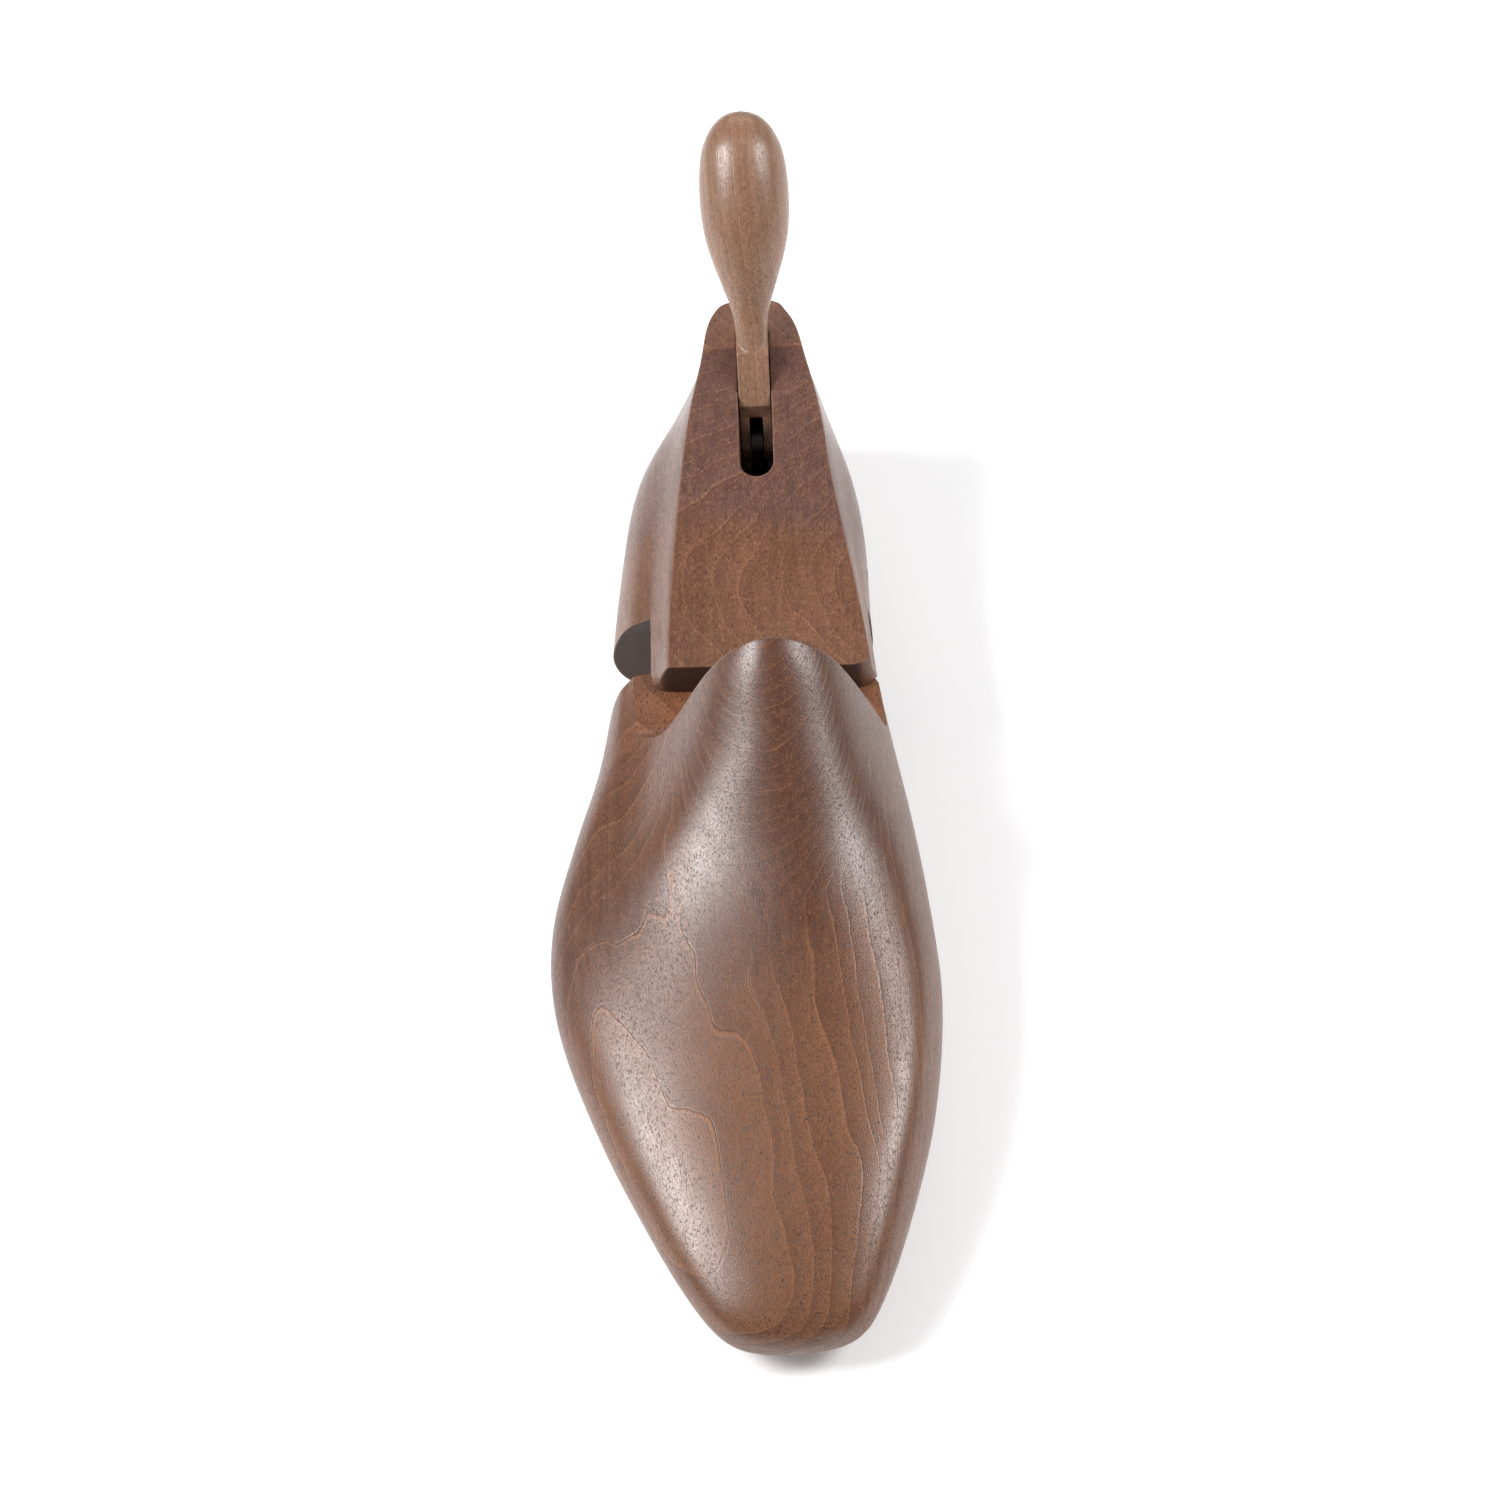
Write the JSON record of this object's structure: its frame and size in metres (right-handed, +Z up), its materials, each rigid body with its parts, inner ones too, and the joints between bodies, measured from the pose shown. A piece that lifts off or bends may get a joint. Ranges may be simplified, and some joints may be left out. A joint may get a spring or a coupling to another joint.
{
  "type": "shoe tree",
  "caption": "Split lasted wooden shoe tree for a right foot, with a leaning lever on the heel block that slides the forepart in and out on a steel draw bar.",
  "frame": {"origin": "centre of the base rectangle, on the surface the tree stands on", "axes": "+Z up, -Y from heel to toe, +X towards the medial side of a right foot"},
  "size_m": [0.0964, 0.316, 0.1134],
  "materials": {
    "heel_wood": "satin stained beech",
    "fore_wood": "satin stained beech",
    "lever_wood": "satin stained beech, paler",
    "plug_wood": "stained beech, trimmed flush",
    "steel": "plain mild steel, dull"
  },
  "bodies": {
    "heel": {"heel_block": "heel_wood", "lever_pivot_pin": "steel", "pivot_plug": "plug_wood", "guide_pin": "steel"},
    "lever": {"lever_handle": "lever_wood", "link_pin": "steel"},
    "fore": {"forepart": "fore_wood", "draw_bar": "steel", "bar_pin_rear": "steel", "bar_pin_front": "steel", "bar_plug_rear": "plug_wood", "bar_plug_front": "plug_wood"}
  },
  "joints": [
    {"name": "forepart_slide", "type": "slide", "parent": "heel", "child": "fore", "axis": [0, 1, 0], "range_m": [0, 0.0116]},
    {"name": "lever_pivot", "type": "hinge", "parent": "heel", "child": "lever", "pos_m": [0.00677, 0.10333, 0.0555], "axis": [1, 0, 0], "range_deg": [0, 53.01]}
  ],
  "couplings": [
    {"joint": "lever_pivot", "follows": "forepart_slide", "rad_per_m": 79.745}
  ]
}
